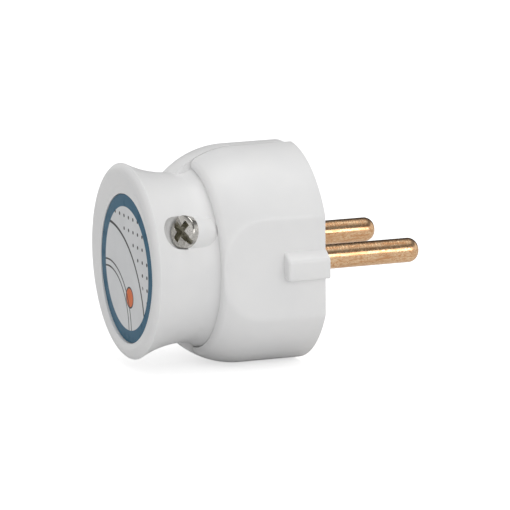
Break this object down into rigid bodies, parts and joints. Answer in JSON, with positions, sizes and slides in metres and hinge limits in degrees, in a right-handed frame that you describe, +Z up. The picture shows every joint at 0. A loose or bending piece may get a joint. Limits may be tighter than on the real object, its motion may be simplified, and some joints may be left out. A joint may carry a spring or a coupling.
{
  "type": "mains plug",
  "caption": "Round mains plug with straight round pins, flattened sides with guide ribs, a flared pull grip at the back and a side inlet for its cord.",
  "frame": {"origin": "centre of the engagement face, midway between the pins", "axes": "+X along the pins, out of the face; +Z up; -Y is the side called near, with the longer flat"},
  "size_m": [0.0475, 0.0396, 0.0356],
  "materials": {
    "white_plastic": "satin",
    "label": "printed, with a blue ring",
    "pin_brass": "turned, slightly tarnished",
    "terminal_brass": "sawn and drilled",
    "plated_steel": "nickel plated",
    "carrier_plastic": "matt",
    "fibre": "matt",
    "rubber": "matt"
  },
  "bodies": {
    "housing": {"front_housing": "white_plastic", "rear_housing": "white_plastic", "label_disc": "label", "near_pin": "pin_brass", "far_pin": "pin_brass", "pin_carrier": "carrier_plastic", "near_terminal": "terminal_brass", "far_terminal": "terminal_brass", "screw_inserts": "terminal_brass", "captive_washers": "fibre", "inlet_bush": "rubber"},
    "near_housing_screw": {"near_housing_screw": "plated_steel"},
    "far_housing_screw": {"far_housing_screw": "plated_steel"},
    "near_terminal_screw": {"near_terminal_screw": "plated_steel"},
    "far_terminal_screw": {"far_terminal_screw": "plated_steel"},
    "upper_carrier_screw": {"upper_carrier_screw": "plated_steel"},
    "lower_carrier_screw": {"lower_carrier_screw": "plated_steel"},
    "clamp_bar": {"clamp_bar": "plated_steel"},
    "upper_clamp_screw": {"upper_clamp_screw": "plated_steel"},
    "lower_clamp_screw": {"lower_clamp_screw": "plated_steel"}
  },
  "joints": [
    {"name": "near_housing_screw_turn", "type": "hinge", "parent": "housing", "child": "near_housing_screw", "pos_m": [-0.02387, -0.01309, 0.0069], "axis": [-0.8965, -0.3919, 0.2066], "continuous": true},
    {"name": "far_housing_screw_turn", "type": "hinge", "parent": "housing", "child": "far_housing_screw", "pos_m": [-0.02387, 0.01309, -0.0069], "axis": [-0.8965, 0.3919, -0.2066], "continuous": true},
    {"name": "near_terminal_screw_turn", "type": "hinge", "parent": "housing", "child": "near_terminal_screw", "pos_m": [-0.00725, -0.0095, 0], "axis": [1, 0, 0], "continuous": true},
    {"name": "far_terminal_screw_turn", "type": "hinge", "parent": "housing", "child": "far_terminal_screw", "pos_m": [-0.00725, 0.0095, 0], "axis": [1, 0, 0], "continuous": true},
    {"name": "upper_carrier_screw_turn", "type": "hinge", "parent": "housing", "child": "upper_carrier_screw", "pos_m": [-0.0109, -0.0025, 0.0066], "axis": [1, 0, 0], "continuous": true},
    {"name": "lower_carrier_screw_turn", "type": "hinge", "parent": "housing", "child": "lower_carrier_screw", "pos_m": [-0.0109, -0.0025, -0.0066], "axis": [1, 0, 0], "continuous": true},
    {"name": "clamp_bar_slide", "type": "slide", "parent": "housing", "child": "clamp_bar", "axis": [1, 0, 0], "range_m": [0, 0.0015]},
    {"name": "upper_clamp_screw_turn", "type": "hinge", "parent": "clamp_bar", "child": "upper_clamp_screw", "pos_m": [-0.0195, 0.0034, 0.0081], "axis": [1, 0, 0], "range_deg": [0, 1080]},
    {"name": "lower_clamp_screw_turn", "type": "hinge", "parent": "clamp_bar", "child": "lower_clamp_screw", "pos_m": [-0.0195, 0.0034, -0.0031], "axis": [1, 0, 0], "range_deg": [0, 1080]}
  ],
  "couplings": [
    {"joint": "upper_clamp_screw_turn", "follows": "clamp_bar_slide", "rad_per_m": 12566},
    {"joint": "lower_clamp_screw_turn", "follows": "clamp_bar_slide", "rad_per_m": 12566}
  ]
}
